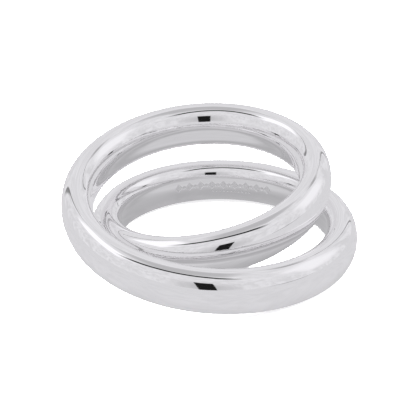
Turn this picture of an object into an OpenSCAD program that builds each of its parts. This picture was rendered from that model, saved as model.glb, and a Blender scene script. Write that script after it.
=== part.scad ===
// Finger ring: one silver band wound twice round the finger as a closed coil.
// The band goes round twice before it meets itself. Its centre line sways in and
// out, and up and down, once in those two turns, so one turn lies inside the other
// at the crossing and they open like jaws on the far side.
// Frame: +Z up, the ring lies at rest on the plane Z = 0, and the origin is the
// middle of its footprint.

/* [Coil] */
// Mean radius of the coil's centre line
coil_radius = 10.75; // [10.5:0.05:13]
// How far the centre line sways in and out of the mean radius
sway = 2.21; // [2:0.01:2.4]
// How much the sway is gathered toward the crossing
sway_gather = 0.62; // [0.4:0.02:0.7]
// How far the centre line rises above and dips below the middle
rise = 3.16; // [3:0.02:3.4]
// Compass direction of the crossing, in degrees from +X toward +Y
crossing_turn = 268.2; // [0:0.2:360]
// Lean toward the crossing at which the ring lies still, in degrees
rest_lean = 5.8; // [5:0.05:6.5]

/* [Band] */
// Width of the band along the finger
band_wide = 4.24; // [4:0.02:4.4]
// Height of the rounded outside above the centre line
crown = 1.56; // [1.5:0.01:1.66]
// Depth of the gently rounded inside below the centre line
inner_depth = 1.38; // [1.3:0.01:1.45]
// Radius of the soft shoulder round the whole section
edge_radius = 1.05; // [0.6:0.05:1.2]
// Tilt of the band on the far side, where each turn's inside face opens outward
band_tilt = 3.8; // [0:0.1:8]

/* [Solder] */
// Thickness of the solder in each butt seam
seam_thick = 0.12; // [0.08:0.01:0.2]

/* [Hidden] */

sides = 24;             // points round the section
rings = 88;             // sections along each loop
seam_rings = 2;         // sections along a butt seam
one_turn = 360;
two_turns = 720;

// Section of the band. u points away from the finger and k along the finger.
// It is a half ellipse outside and a flatter one inside, with a soft shoulder
// added all round.
core_out = crown - edge_radius;
core_in = inner_depth - edge_radius;
core_k = band_wide / 2 - edge_radius;

function core_point(n) =
    let (core_u = n.x > 0 ? core_out : core_in,
         h = norm([core_u * n.x, core_k * n.y]))
    [core_u * core_u * n.x / h, core_k * core_k * n.y / h];
// Point of the section whose outward direction is at angle a
function section_point(a) =
    let (n = [cos(a), sin(a)]) core_point(n) + edge_radius * n;

// Centre line of the coil, s degrees of turn after the crossing
function line_radius(s) =
    coil_radius + sway * cos(s / 2) + sway_gather * cos(3 * s / 2);
function line_height(s) = -rise * sin(s / 2);
function line_point(s) =
    [line_radius(s) * cos(s), line_radius(s) * sin(s), line_height(s)];
function line_slope(s) =
    let (r = line_radius(s),
         dr = -sway / 2 * sin(s / 2) - sway_gather * 3 / 2 * sin(3 * s / 2),
         dz = -rise / 2 * cos(s / 2))
    [dr * cos(s) - r * sin(s), dr * sin(s) + r * cos(s), dz];
function unit(v) = v / norm(v);
function along(s) = unit(line_slope(s));
function level(s) = let (t = along(s)) unit([t.y, -t.x, 0]);
function square(s) = cross(level(s), along(s));
// The band's own outward and upward directions, tilted about the centre line
function tilt(s) = band_tilt * sin(s / 2);
function outward(s) = level(s) * cos(tilt(s)) + square(s) * sin(tilt(s));
function upward(s) = square(s) * cos(tilt(s)) - level(s) * sin(tilt(s));
function band_point(s, q) = line_point(s) + q.x * outward(s) + q.y * upward(s);

// From the coil's own frame to the ring at rest
function leaned(p) =
    [p.x * cos(rest_lean) + p.z * sin(rest_lean), p.y,
     p.z * cos(rest_lean) - p.x * sin(rest_lean)];
function turned(p) =
    [p.x * cos(crossing_turn) - p.y * sin(crossing_turn),
     p.x * sin(crossing_turn) + p.y * cos(crossing_turn), p.z];

// Turn that half a seam takes up on a strand
function half_seam(s) = seam_thick / 2 / norm(line_slope(s)) * 180 / PI;
outer_half = half_seam(0);
inner_half = half_seam(one_turn);

// Sections from turn s0 to turn s1, count of them, one list of points
function sweep(s0, s1, count) =
    [for (i = [0 : count - 1]) let (s = s0 + (s1 - s0) * i / (count - 1))
        for (j = [0 : sides - 1])
            turned(leaned(band_point(s, section_point(360 * j / sides))))];

lower_points = sweep(outer_half, one_turn - inner_half, rings);
upper_points = sweep(one_turn + inner_half, two_turns - outer_half, rings);
outer_seam_points = sweep(-outer_half, outer_half, seam_rings);
inner_seam_points = sweep(one_turn - inner_half, one_turn + inner_half, seam_rings);

function low(points, axis) = min([for (p = points) p[axis]]);
function high(points, axis) = max([for (p = points) p[axis]]);
all_points = concat(lower_points, upper_points);
function middle(axis) = (low(all_points, axis) + high(all_points, axis)) / 2;
seat = [-middle(0), -middle(1), -low(all_points, 2)];

// Closed skin through count sections of n points each
module skin(points, count, n) {
    walls = [for (i = [0 : count - 2], j = [0 : n - 1])
        let (a = i * n + j, b = i * n + (j + 1) % n)
        each [[a, b, a + n], [b, b + n, a + n]]];
    first = [for (j = [n - 1 : -1 : 0]) j];
    last = [for (j = [0 : n - 1]) (count - 1) * n + j];
    translate(seat) polyhedron(points, concat(walls, [first, last]), convexity = 8);
}

module upper_loop() {
    color("silver") skin(upper_points, rings, sides);
}

module lower_loop() {
    color("silver") skin(lower_points, rings, sides);
}

module outer_seam_solder() {
    color("gainsboro") skin(outer_seam_points, seam_rings, sides);
}

module inner_seam_solder() {
    color("gainsboro") skin(inner_seam_points, seam_rings, sides);
}

upper_loop();
lower_loop();
outer_seam_solder();
inner_seam_solder();
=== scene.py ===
"""Looks of a silver finger ring: one polished band wound twice round the finger."""
from collections import namedtuple
import math

import bpy
import numpy as np
from mathutils import Matrix, Vector


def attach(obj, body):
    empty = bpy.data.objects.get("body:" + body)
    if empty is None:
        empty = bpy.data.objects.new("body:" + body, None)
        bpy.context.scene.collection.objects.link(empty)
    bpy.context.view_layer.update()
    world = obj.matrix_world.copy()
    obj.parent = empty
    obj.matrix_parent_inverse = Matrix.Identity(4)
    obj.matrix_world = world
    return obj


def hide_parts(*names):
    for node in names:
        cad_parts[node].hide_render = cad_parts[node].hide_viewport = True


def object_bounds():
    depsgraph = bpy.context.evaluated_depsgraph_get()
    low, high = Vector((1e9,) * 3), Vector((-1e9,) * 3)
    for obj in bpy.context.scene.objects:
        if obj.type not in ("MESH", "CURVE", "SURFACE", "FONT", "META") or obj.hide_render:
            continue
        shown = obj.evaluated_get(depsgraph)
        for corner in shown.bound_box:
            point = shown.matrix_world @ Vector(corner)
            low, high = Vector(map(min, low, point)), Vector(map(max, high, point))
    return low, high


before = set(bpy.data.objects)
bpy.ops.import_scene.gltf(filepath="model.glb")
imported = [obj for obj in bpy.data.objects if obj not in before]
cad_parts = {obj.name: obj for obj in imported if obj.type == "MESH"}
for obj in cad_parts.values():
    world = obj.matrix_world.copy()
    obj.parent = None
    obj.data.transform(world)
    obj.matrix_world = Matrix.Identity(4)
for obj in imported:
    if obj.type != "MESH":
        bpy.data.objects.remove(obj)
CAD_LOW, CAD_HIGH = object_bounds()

MM = 0.001
BODY = "root"

# The coil and the band, as the CAD model has them, in millimetres and degrees
COIL_RADIUS = 10.75
SWAY = 2.21
SWAY_GATHER = 0.62
RISE = 3.16
CROSSING_TURN = 268.2
REST_LEAN = 5.8
BAND_WIDE = 4.24
CROWN = 1.56
INNER_DEPTH = 1.38
EDGE_RADIUS = 1.05
BAND_TILT = 3.8
SEAM_THICK = 0.12
ONE_TURN = 360.0
TWO_TURNS = 720.0

# Fineness of the meshes
ROUND_POINTS = 81       # points round the outside and the shoulders of the section
INSIDE_POINTS = 26      # points across each half of the inside face
INSIDE_K = 0.95         # half width of the evenly divided inside face
FACING_STEPS = 901      # directions tried when that face is divided
LOOP_RINGS = 360        # sections along a plain loop
MARK_RINGS = 300        # sections along the stretch that holds the border
SEAM_RINGS = 3
SMALL_TURN = 0.01       # step in turn for measuring slopes, in degrees

# Punched border on the inside face of the lower loop, in millimetres and degrees
MARK_TURNS = (139.0, 207.0)     # ends of the finely divided stretch that holds it
MARK_MIDDLE = 173.5
MARK_DEPTH = 0.05
MARK_EDGE = 0.045       # width of a mark's sloping wall
LARGE_ROW = 0.27        # height of the row of lozenges above the middle of the face
LARGE_HIGH = 0.4        # half height of a lozenge
LARGE_PITCH = 1.12
LARGE_COUNT = 9
DOT_HIGH = 0.15         # radius of the dots between the lozenges
SMALL_ROW = -0.42       # height of the row of tiny lozenges
SMALL_HIGH = 0.11
SMALL_PITCH = 0.36
SMALL_COUNT = 11
SMALL_SHIFT = 0.75      # how far that row lies to one side
LOZENGE_SLIM = 1.1      # height of a lozenge over its width
LOZENGE_SLOPE = 0.7     # turns a lozenge's own measure into a distance


# ---------------------------------------------------------------- the coil
def rotation(axis, degrees):
    return np.array(Matrix.Rotation(math.radians(degrees), 3, axis))


TO_REST = rotation("Z", CROSSING_TURN) @ rotation("Y", REST_LEAN)
CORE_OUT = CROWN - EDGE_RADIUS
CORE_IN = INNER_DEPTH - EDGE_RADIUS
CORE_K = BAND_WIDE / 2 - EDGE_RADIUS


def section_at(angles):
    """Points (u, k) and normals of the section where it faces these directions, in degrees."""
    a = np.radians(angles)
    n = np.stack([np.cos(a), np.sin(a)], 1)
    core_u = np.where(n[:, 0] > 0, CORE_OUT, CORE_IN)
    h = np.hypot(core_u * n[:, 0], CORE_K * n[:, 1])
    core = np.stack([core_u ** 2 * n[:, 0] / h, CORE_K ** 2 * n[:, 1] / h], 1)
    return core + EDGE_RADIUS * n, n


def whole_section():
    """The closed section, from the middle of the inside face round and back to it."""
    facing = np.linspace(180, 90, FACING_STEPS)
    reached = section_at(facing)[0][:, 1]
    inside = np.interp(np.linspace(0, INSIDE_K, INSIDE_POINTS), reached, facing)
    rest = np.linspace(-inside[-1], inside[-1], ROUND_POINTS)[1:-1]
    return section_at(np.concatenate([-inside, rest, inside[:0:-1]]))


SECTION, SECTION_NORMALS = whole_section()


Line = namedtuple("Line", "point along outward upward speed")


def coil(turns):
    """Centre line points, the band's directions there, and the line's speed per radian."""
    s = np.radians(np.asarray(turns, float))
    radius = COIL_RADIUS + SWAY * np.cos(s / 2) + SWAY_GATHER * np.cos(3 * s / 2)
    d_radius = -SWAY / 2 * np.sin(s / 2) - SWAY_GATHER * 3 / 2 * np.sin(3 * s / 2)
    c, q = np.cos(s), np.sin(s)
    point = np.stack([radius * c, radius * q, -RISE * np.sin(s / 2)], 1)
    slope = np.stack([d_radius * c - radius * q, d_radius * q + radius * c,
                      -RISE / 2 * np.cos(s / 2)], 1)
    speed = np.linalg.norm(slope, axis=1)
    along = slope / speed[:, None]
    level = np.stack([along[:, 1], -along[:, 0], 0 * s], 1)
    level /= np.linalg.norm(level, axis=1)[:, None]
    square = np.cross(level, along)
    tilt = math.radians(BAND_TILT) * np.sin(s / 2)[:, None]
    outward = level * np.cos(tilt) + square * np.sin(tilt)
    upward = square * np.cos(tilt) - level * np.sin(tilt)
    return Line(point, along, outward, upward, speed)


def spread(pairs, line):
    """Vectors of the section's (u, k) pairs at every point of a line."""
    u, k = pairs[None, :, 0, None], pairs[None, :, 1, None]
    return u * line.outward[:, None] + k * line.upward[:, None]


def band_points(turns):
    line = coil(turns)
    return line.point[:, None] + spread(SECTION, line)


def band_surface(turns):
    """Points and exact surface normals of the plain band, one row per turn."""
    line = coil(turns)
    along = line.along[:, None]
    run = band_points(turns + SMALL_TURN) - band_points(turns - SMALL_TURN)
    normals = spread(SECTION_NORMALS, line)
    across = (run * normals).sum(2) / (run * along).sum(2)
    normals = normals - along * across[..., None]
    return band_points(turns), normals / np.linalg.norm(normals, axis=2)[..., None]


def seat():
    """Where the coil's own origin lies, so that the band fills the CAD model's box."""
    p = band_points(np.linspace(0, TWO_TURNS, 2 * LOOP_RINGS)).reshape(-1, 3) @ TO_REST.T * MM
    low, high = p.min(0), p.max(0)
    middle = (np.array(CAD_LOW) + np.array(CAD_HIGH)) / 2
    return np.array([middle[0] - (low[0] + high[0]) / 2,
                     middle[1] - (low[1] + high[1]) / 2, CAD_LOW[2] - low[2]])


SEAT = seat()


def half_seam(turn):
    """Turn that half a seam takes up, in degrees."""
    return math.degrees(SEAM_THICK / 2 / coil([turn]).speed[0])


OUTER_HALF = half_seam(0)
INNER_HALF = half_seam(ONE_TURN)


# ---------------------------------------------------------------- the marks
def punched(distance):
    """Depth of a mark, from the signed distance to its outline."""
    t = np.clip(0.5 - distance / MARK_EDGE, 0, 1)
    return MARK_DEPTH * t * t * (3 - 2 * t)


def lozenge(x, y, high):
    return (np.abs(x) * LOZENGE_SLIM + np.abs(y) - high) * LOZENGE_SLOPE


def dot(x, y, high):
    return np.hypot(x, y) - high


def row_of_marks(shape, x, y, high, pitch, count):
    """Depth of a row of equal marks, centred on x = 0."""
    offsets = [(i - (count - 1) / 2) * pitch for i in range(count)]
    return np.max([punched(shape(x - offset, y, high)) for offset in offsets], axis=0)


def mark_depth(turns):
    """Depth of the punched marks over the grid of the band, none of them on its outside."""
    x = -np.radians(turns - MARK_MIDDLE)[:, None] * (COIL_RADIUS - INNER_DEPTH)
    y = np.where(SECTION[:, 0] < 0, SECTION[:, 1], BAND_WIDE)[None, :]
    large = row_of_marks(lozenge, x, y - LARGE_ROW, LARGE_HIGH, LARGE_PITCH, LARGE_COUNT)
    dots = row_of_marks(dot, x, y - LARGE_ROW, DOT_HIGH, LARGE_PITCH, LARGE_COUNT - 1)
    small = row_of_marks(lozenge, x - SMALL_SHIFT, y - SMALL_ROW, SMALL_HIGH, SMALL_PITCH,
                         SMALL_COUNT)
    return np.maximum(np.maximum(large, dots), small)


def punch(turns, points, normals):
    """Press the marks into the band and turn its normals to suit."""
    depth = mark_depth(turns)
    line = coil(turns)
    run = np.gradient(depth, np.radians(turns), axis=0) / line.speed[:, None]
    rim = np.roll(SECTION, -1, axis=0) - np.roll(SECTION, 1, axis=0)
    step = np.copysign(np.hypot(rim[:, 0], rim[:, 1]), rim[:, 1])
    rise = (np.roll(depth, -1, axis=1) - np.roll(depth, 1, axis=1)) / step
    turned = normals + run[..., None] * line.along[:, None]
    turned += rise[..., None] * line.upward[:, None]
    turned /= np.linalg.norm(turned, axis=2)[..., None]
    return points - depth[..., None] * normals, turned, depth / MARK_DEPTH


# ---------------------------------------------------------------- meshes
BAND_UV = "band"
MARK_LAYER = "mark"     # how far down in a mark a point lies, from 0 to 1


def lengths(grid):
    """Distance along and round a grid of points, for the texture coordinates."""
    along = np.linalg.norm(np.diff(grid.mean(1), axis=0), axis=1)
    rim = np.concatenate([grid[0], grid[0][:1]])
    around = np.linalg.norm(np.diff(rim, axis=0), axis=1)
    return np.concatenate([[0], np.cumsum(along)]), np.concatenate([[0], np.cumsum(around)])


def wall_faces(rows, cols):
    """Quads of a closed wall of rows x cols points, and a cap at either end."""
    faces = []
    for i in range(rows - 1):
        for j in range(cols):
            a, b = i * cols + j, i * cols + (j + 1) % cols
            faces.append((a, a + cols, b + cols, b))
    faces.append(tuple(range(cols)))
    faces.append(tuple(range(rows * cols - 1, (rows - 1) * cols - 1, -1)))
    return faces


def add_band_uv(mesh, grid):
    """Texture coordinates in metres, along the band and round it."""
    rows, cols = grid.shape[:2]
    along, around = lengths(grid)
    quads = (rows - 1) * cols
    i, j = np.divmod(np.arange(quads), cols)
    corner_rows = np.stack([i, i + 1, i + 1, i], 1)
    corner_cols = np.stack([j, j, j + 1, j + 1], 1)
    coords = np.zeros((len(mesh.loops), 2), np.float32)
    coords[:quads * 4, 0] = along[corner_rows].ravel()
    coords[:quads * 4, 1] = around[corner_cols].ravel()
    mesh.uv_layers.new(name=BAND_UV).data.foreach_set("uv", coords.ravel())


def tube(name, turns, marked=False):
    """Closed tube of band over these turns."""
    grid, normals = band_surface(turns)
    marks = np.zeros(grid.shape[:2])
    if marked:
        grid, normals, marks = punch(turns, grid, normals)
    grid = grid @ TO_REST.T * MM + SEAT
    normals = normals @ TO_REST.T
    faces = wall_faces(*grid.shape[:2])
    mesh = bpy.data.meshes.new(name)
    mesh.from_pydata(grid.reshape(-1, 3).tolist(), [], faces)
    mesh.polygons.foreach_set("use_smooth", [True] * len(faces))
    add_band_uv(mesh, grid)
    layer = mesh.attributes.new(MARK_LAYER, "FLOAT", "POINT")
    layer.data.foreach_set("value", marks.ravel().astype(np.float32))
    mesh.update()
    mesh.normals_split_custom_set_from_vertices(normals.reshape(-1, 3).tolist())
    piece = bpy.data.objects.new(name, mesh)
    bpy.context.scene.collection.objects.link(piece)
    return piece


def finish_piece(piece, node, material):
    piece.data.materials.append(material)
    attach(piece, BODY)
    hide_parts(node)


# ---------------------------------------------------------------- materials
SILVER = (0.955, 0.95, 0.955)
SILVER_ROUGH = (0.015, 0.05)    # roughness between the smudges and in them
SOLDER = (0.95, 0.945, 0.95)
SOLDER_ROUGH = (0.02, 0.06)

# Polish. Each pattern has its cells per metre along the band and round it, its levels
# of detail, and an offset that keeps it apart from the others.
SMUDGES = (260, 420, 3, 0.0)
SMUDGE_START, SMUDGE_FULL = 0.35, 0.7
HAIRLINES = (500, 22000, 4, 7.0)
WAVES = (420, 700, 1, 3.0)
WAVE_HEIGHT = 2.5       # against 1 for the hairlines
NICKS = (3000, 9000, 2, 11.0)
NICK_START, NICK_FULL = 0.73, 0.8
MARK_SATIN = 0.5        # roughness that the bottom of a mark adds
BUMP_STRENGTH = 0.25
BUMP_DISTANCE = 0.002 * MM


def new_material(name):
    material = bpy.data.materials.new(name)
    material.use_nodes = True
    nodes, links = material.node_tree.nodes, material.node_tree.links
    return material, nodes, links, nodes["Principled BSDF"]


def map_range(nodes, links, value, low, high, out_low, out_high):
    """Smooth step of a value from one range to another."""
    ramp = nodes.new("ShaderNodeMapRange")
    ramp.interpolation_type = "SMOOTHSTEP"
    ramp.inputs["From Min"].default_value = low
    ramp.inputs["From Max"].default_value = high
    ramp.inputs["To Min"].default_value = out_low
    ramp.inputs["To Max"].default_value = out_high
    links.new(value, ramp.inputs["Value"])
    return ramp.outputs["Result"]


def combine(nodes, links, operation, first, second):
    """Math node on a socket and either another socket or a number."""
    node = nodes.new("ShaderNodeMath")
    node.operation = operation
    links.new(first, node.inputs[0])
    if isinstance(second, float):
        node.inputs[1].default_value = second
    else:
        links.new(second, node.inputs[1])
    return node.outputs["Value"]


def noise(nodes, links, vector, scale, detail, offset=0.0, twist=0.0):
    mapping = nodes.new("ShaderNodeMapping")
    mapping.inputs["Scale"].default_value = scale
    mapping.inputs["Location"].default_value = (offset, offset, 0)
    links.new(vector, mapping.inputs["Vector"])
    texture = nodes.new("ShaderNodeTexNoise")
    texture.inputs["Scale"].default_value = 1
    texture.inputs["Detail"].default_value = detail
    texture.inputs["Distortion"].default_value = twist
    links.new(mapping.outputs["Vector"], texture.inputs["Vector"])
    return texture.outputs["Fac"]


def polished_metal(name, color, rough):
    """Mirror-polished metal: hairlines along the band, tiny nicks, soft smudges."""
    material, nodes, links, shader = new_material(name)
    shader.inputs["Base Color"].default_value = (*color, 1)
    shader.inputs["Metallic"].default_value = 1
    uv = nodes.new("ShaderNodeUVMap")
    uv.uv_map = BAND_UV

    def pattern(along, around, detail, offset):
        return noise(nodes, links, uv.outputs["UV"], (along, around, 1), detail, offset)

    smudge = map_range(nodes, links, pattern(*SMUDGES), SMUDGE_START, SMUDGE_FULL, *rough)
    mark = nodes.new("ShaderNodeAttribute")
    mark.attribute_name = MARK_LAYER
    satin = combine(nodes, links, "MULTIPLY", mark.outputs["Fac"], MARK_SATIN)
    links.new(combine(nodes, links, "ADD", smudge, satin), shader.inputs["Roughness"])
    wave = combine(nodes, links, "MULTIPLY", pattern(*WAVES), WAVE_HEIGHT)
    nick = map_range(nodes, links, pattern(*NICKS), NICK_START, NICK_FULL, 0, 1)
    height = combine(nodes, links, "ADD", pattern(*HAIRLINES), wave)
    height = combine(nodes, links, "SUBTRACT", height, nick)
    bump = nodes.new("ShaderNodeBump")
    bump.inputs["Strength"].default_value = BUMP_STRENGTH
    bump.inputs["Distance"].default_value = BUMP_DISTANCE
    links.new(height, bump.inputs["Height"])
    links.new(bump.outputs["Normal"], shader.inputs["Normal"])
    return material


# ---------------------------------------------------------------- pieces
def build_scene():
    silver = polished_metal("polished_silver", SILVER, SILVER_ROUGH)
    solder = polished_metal("polished_solder", SOLDER, SOLDER_ROUGH)
    start, end = MARK_TURNS
    lower_turns = np.concatenate([
        np.linspace(OUTER_HALF, start, LOOP_RINGS // 2)[:-1],
        np.linspace(start, end, MARK_RINGS),
        np.linspace(end, ONE_TURN - INNER_HALF, LOOP_RINGS // 2)[1:]])
    upper_turns = np.linspace(ONE_TURN + INNER_HALF, TWO_TURNS - OUTER_HALF, LOOP_RINGS)
    outer_turns = np.linspace(-OUTER_HALF, OUTER_HALF, SEAM_RINGS)
    inner_turns = np.linspace(ONE_TURN - INNER_HALF, ONE_TURN + INNER_HALF, SEAM_RINGS)
    finish_piece(tube("lower_loop_band", lower_turns, marked=True), "lower_loop", silver)
    finish_piece(tube("upper_loop_band", upper_turns), "upper_loop", silver)
    finish_piece(tube("outer_seam_line", outer_turns), "outer_seam_solder", solder)
    finish_piece(tube("inner_seam_line", inner_turns), "inner_seam_solder", solder)


# ---------------------------------------------------------------- camera
CAMERA_ELEVATION = 25.25
CAMERA_ROLL = -2.03
CAMERA_DISTANCE = 0.14721
CAMERA_LENS = 138.77
CAMERA_SENSOR = 36
CAMERA_CLIP = (0.005, 20)
CAMERA_TARGET = Vector((-0.16, 0, 4.987)) * MM
X, Y, Z = Vector((1, 0, 0)), Vector((0, 1, 0)), Vector((0, 0, 1))


def camera():
    """Camera that looks along +Y and down, rolled a little."""
    e, roll = math.radians(CAMERA_ELEVATION), math.radians(CAMERA_ROLL)
    forward = Vector((0, math.cos(e), -math.sin(e)))
    up = Vector((0, math.sin(e), math.cos(e)))
    right, up = X * math.cos(roll) + up * math.sin(roll), up * math.cos(roll) - X * math.sin(roll)
    data = bpy.data.cameras.new("camera")
    data.lens = CAMERA_LENS
    data.sensor_width = CAMERA_SENSOR
    data.clip_start, data.clip_end = CAMERA_CLIP
    cam = bpy.data.objects.new("camera", data)
    bpy.context.scene.collection.objects.link(cam)
    turn = Matrix((right, up, -forward)).transposed().to_4x4()
    cam.matrix_world = Matrix.Translation(CAMERA_TARGET - forward * CAMERA_DISTANCE) @ turn
    bpy.context.scene.camera = cam


# ---------------------------------------------------------------- studio
# Distances and sizes are in metres
TINT = (1.0, 0.995, 1.025)      # the studio's faintly cool light
SHEET_SIZE = 3
PAPER_DROP = 0.00002            # how far the floor lies below the ring
PAPER_TONE = 0.93
PAPER_ROUGH = 0.9
PAPER_GLOW = 0.5
CLOTH_DROP = 0.00006            # how far the tent's floor lies below the ring
CLOTH_MIDDLE = 0.62             # painted tone of the tent's floor seen through the ring, lighter than the painted shadow
CLOTH_SHADE = 0.45              # tone of the painted shadow where the band shades it
CLOTH_AROUND = 0.70             # beyond the ring
# middle and reaches of the painted shadow of the band on the tent's floor
SHADE_MIDDLE = (0, 0.0012, 0)
SHADE_START, SHADE_DEEP, SHADE_END = 0.0055, 0.0087, 0.0168
# painted light and shade of creases in the tent's floor
CLOTH_CREASES = (180, 320, 180)     # cells per metre
CLOTH_CREASE_SHADING = 0.035
WALL_TONE = 0.745
# painted light and shade of creases in the tent's wall
WALL_CREASES = (9, 9, 2)            # cells over the radius of the sphere of directions
WALL_CREASE_SHADING = 0.09
CREASE_START, CREASE_FULL = 0.3, 0.7
CREASE_DETAIL = 3
CREASE_TWIST = 1.5
LAMP_SIZE = 1.2
LAMP_ENERGY = 60
LAMP_HEIGHT = 0.6


def sheet(name, centre, right, up, width, height):
    """Plain sheet, with its own X and Y running -1 to 1 from edge to edge."""
    mesh = bpy.data.meshes.new(name)
    mesh.from_pydata([(-1, -1, 0), (1, -1, 0), (1, 1, 0), (-1, 1, 0)], [], [(0, 1, 2, 3)])
    obj = bpy.data.objects.new(name, mesh)
    axes = Matrix((right, up, right.cross(up))).transposed().to_4x4()
    size = Matrix.Diagonal((width / 2, height / 2, 1, 1))
    obj.matrix_world = Matrix.Translation(centre) @ axes @ size
    bpy.context.scene.collection.objects.link(obj)
    return obj


def only_mirrored(obj):
    """Leave an object out of everything but the metal's reflections."""
    obj.visible_camera = False
    obj.visible_diffuse = False
    obj.visible_shadow = False


def glow_nodes(name):
    """Material with only an emission shader and an output, not yet joined."""
    material = bpy.data.materials.new(name)
    material.use_nodes = True
    nodes, links = material.node_tree.nodes, material.node_tree.links
    nodes.clear()
    glow = nodes.new("ShaderNodeEmission")
    surface = nodes.new("ShaderNodeOutputMaterial").inputs["Surface"]
    return material, nodes, links, glow, surface


def card_glow(name, tone, soft):
    """Glow that fades out toward the edges of its sheet."""
    material, nodes, links, glow, surface = glow_nodes(name)
    glow.inputs["Color"].default_value = (*(tone * part for part in TINT), 1)
    place = nodes.new("ShaderNodeTexCoord")
    axes = nodes.new("ShaderNodeSeparateXYZ")
    links.new(place.outputs["Object"], axes.inputs["Vector"])
    masks = []
    for axis in ("X", "Y"):
        node = nodes.new("ShaderNodeMath")
        node.operation = "ABSOLUTE"
        links.new(axes.outputs[axis], node.inputs[0])
        masks.append(map_range(nodes, links, node.outputs["Value"], 1 - soft, 1, 1, 0))
    clear = nodes.new("ShaderNodeBsdfTransparent")
    blend = nodes.new("ShaderNodeMixShader")
    links.new(combine(nodes, links, "MULTIPLY", *masks), blend.inputs["Fac"])
    links.new(clear.outputs["BSDF"], blend.inputs[1])
    links.new(glow.outputs["Emission"], blend.inputs[2])
    links.new(blend.outputs["Shader"], surface)
    return material


def card(name, azimuth, elevation, distance, wide, high, tone, soft):
    """Card facing the ring. Its place and its spans are in degrees, seen from the ring,
    with azimuth 0 toward the camera and growing to the right."""
    a, e = math.radians(azimuth), math.radians(elevation)
    toward = Vector((math.sin(a) * math.cos(e), -math.cos(a) * math.cos(e), math.sin(e)))
    right = Vector((math.cos(a), math.sin(a), 0))
    width = 2 * distance * math.tan(math.radians(wide / 2))
    height = 2 * distance * math.tan(math.radians(high / 2))
    obj = sheet(name, toward * distance, right, toward.cross(right), width, height)
    obj.data.materials.append(card_glow(name, tone, soft))
    only_mirrored(obj)


def crease_light_and_shade(nodes, links, vector, fineness, depth):
    """Painted light and shade of soft creases in the tent's cloth, as a factor on its tone."""
    creases = noise(nodes, links, vector, fineness, CREASE_DETAIL, twist=CREASE_TWIST)
    return map_range(nodes, links, creases, CREASE_START, CREASE_FULL, 1 - depth, 1 + depth)


def paper_floor():
    """White floor that the ring lies on. The metal mirrors the tent's floor instead."""
    floor = sheet("floor", -Z * PAPER_DROP, X, Y, SHEET_SIZE, SHEET_SIZE)
    paper, _, _, shader = new_material("floor_paper")
    shader.inputs["Base Color"].default_value = (PAPER_TONE, PAPER_TONE, PAPER_TONE, 1)
    shader.inputs["Roughness"].default_value = PAPER_ROUGH
    shader.inputs["Specular IOR Level"].default_value = 0
    shader.inputs["Emission Color"].default_value = (1, 1, 1, 1)
    shader.inputs["Emission Strength"].default_value = PAPER_GLOW
    floor.data.materials.append(paper)
    floor.visible_glossy = False


def tent_floor():
    """Glowing cloth under the ring, with a painted shadow where the band lies over it."""
    cloth = sheet("tent_floor", -Z * CLOTH_DROP, X, Y, SHEET_SIZE, SHEET_SIZE)
    material, nodes, links, glow, surface = glow_nodes("tent_cloth")
    glow.inputs["Color"].default_value = (*TINT, 1)
    place = nodes.new("ShaderNodeNewGeometry").outputs["Position"]
    reach = nodes.new("ShaderNodeVectorMath")
    reach.operation = "DISTANCE"
    links.new(place, reach.inputs[0])
    reach.inputs[1].default_value = SHADE_MIDDLE
    far = reach.outputs["Value"]
    # painted shadow of the band: lighter in the middle, darkest under the band, fading to the
    # floor's tone beyond
    inner = map_range(nodes, links, far, SHADE_START, SHADE_DEEP, CLOTH_MIDDLE, CLOTH_SHADE)
    outer = map_range(nodes, links, far, SHADE_DEEP, SHADE_END, 0, CLOTH_AROUND - CLOTH_SHADE)
    # painted light and shade of creases in the tent's floor
    creases = crease_light_and_shade(nodes, links, place, CLOTH_CREASES, CLOTH_CREASE_SHADING)
    tone = combine(nodes, links, "ADD", inner, outer)
    links.new(combine(nodes, links, "MULTIPLY", tone, creases), glow.inputs["Strength"])
    links.new(glow.outputs["Emission"], surface)
    cloth.data.materials.append(material)
    only_mirrored(cloth)


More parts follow.
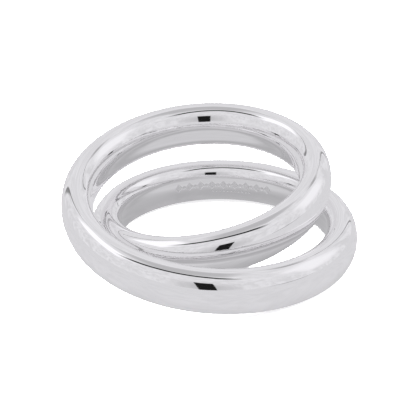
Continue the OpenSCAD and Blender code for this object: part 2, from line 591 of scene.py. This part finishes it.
def tent_wall():
    world = bpy.data.worlds.new("tent")
    bpy.context.scene.world = world
    world.use_nodes = True
    nodes, links = world.node_tree.nodes, world.node_tree.links
    background = nodes["Background"]
    background.inputs["Color"].default_value = (*TINT, 1)
    toward = nodes.new("ShaderNodeTexCoord").outputs["Generated"]
    # painted light and shade of creases in the tent's wall
    creases = crease_light_and_shade(nodes, links, toward, WALL_CREASES, WALL_CREASE_SHADING)
    tone = combine(nodes, links, "MULTIPLY", creases, WALL_TONE)
    links.new(tone, background.inputs["Strength"])


def cards():
    """What stands in the tent, and dark cards of painted shade in its folds. The last two numbers
    are the tone and the softness.
    """
    card("right_softbox", 99, 33, 0.5, 52, 52, 0.92, 0.65)
    card("left_softbox", -96, 53, 0.5, 50, 24, 1.05, 0.4)
    card("top_panel", 0, 90, 0.6, 44, 44, 0.5, 0.5)
    card("front_shade", 0, 10, 0.45, 70, 60, 0.52, 1.0)
    card("camera_opening", 0.4, 9.5, 0.146, 13.0, 39, 0.012, 0.06)
    card("tent_seam", -18, 66, 0.225, 70, 11, 0.02, 0.5)
    # dark card of painted shade in a fold of the tent's cloth
    card("left_fold_shade", -139, 19, 0.5, 6, 34, 0.25, 0.9)
    card("left_edge", -140, 28, 0.5, 3, 66, 0.2, 0.7)
    card("right_edge", 147, 26, 0.5, 2, 76, 0.3, 0.6)
    # dark cards of painted shade in folds of the tent's cloth
    card("right_fold_shade", 138, 53, 0.5, 16, 16, 0.35, 1.0)
    card("low_fold_shade", 62, 1.5, 0.3, 50, 2.5, 0.3, 1.0)


def overhead_lamp():
    data = bpy.data.lights.new("overhead", "AREA")
    data.shape = "SQUARE"
    data.size = LAMP_SIZE
    data.energy = LAMP_ENERGY
    lamp = bpy.data.objects.new("overhead", data)
    lamp.location = (0, 0, LAMP_HEIGHT)
    lamp.visible_glossy = False
    bpy.context.scene.collection.objects.link(lamp)


def studio():
    camera()
    paper_floor()
    tent_floor()
    tent_wall()
    cards()
    overhead_lamp()
    bpy.context.scene.view_settings.view_transform = "Standard"


build_scene()
studio()
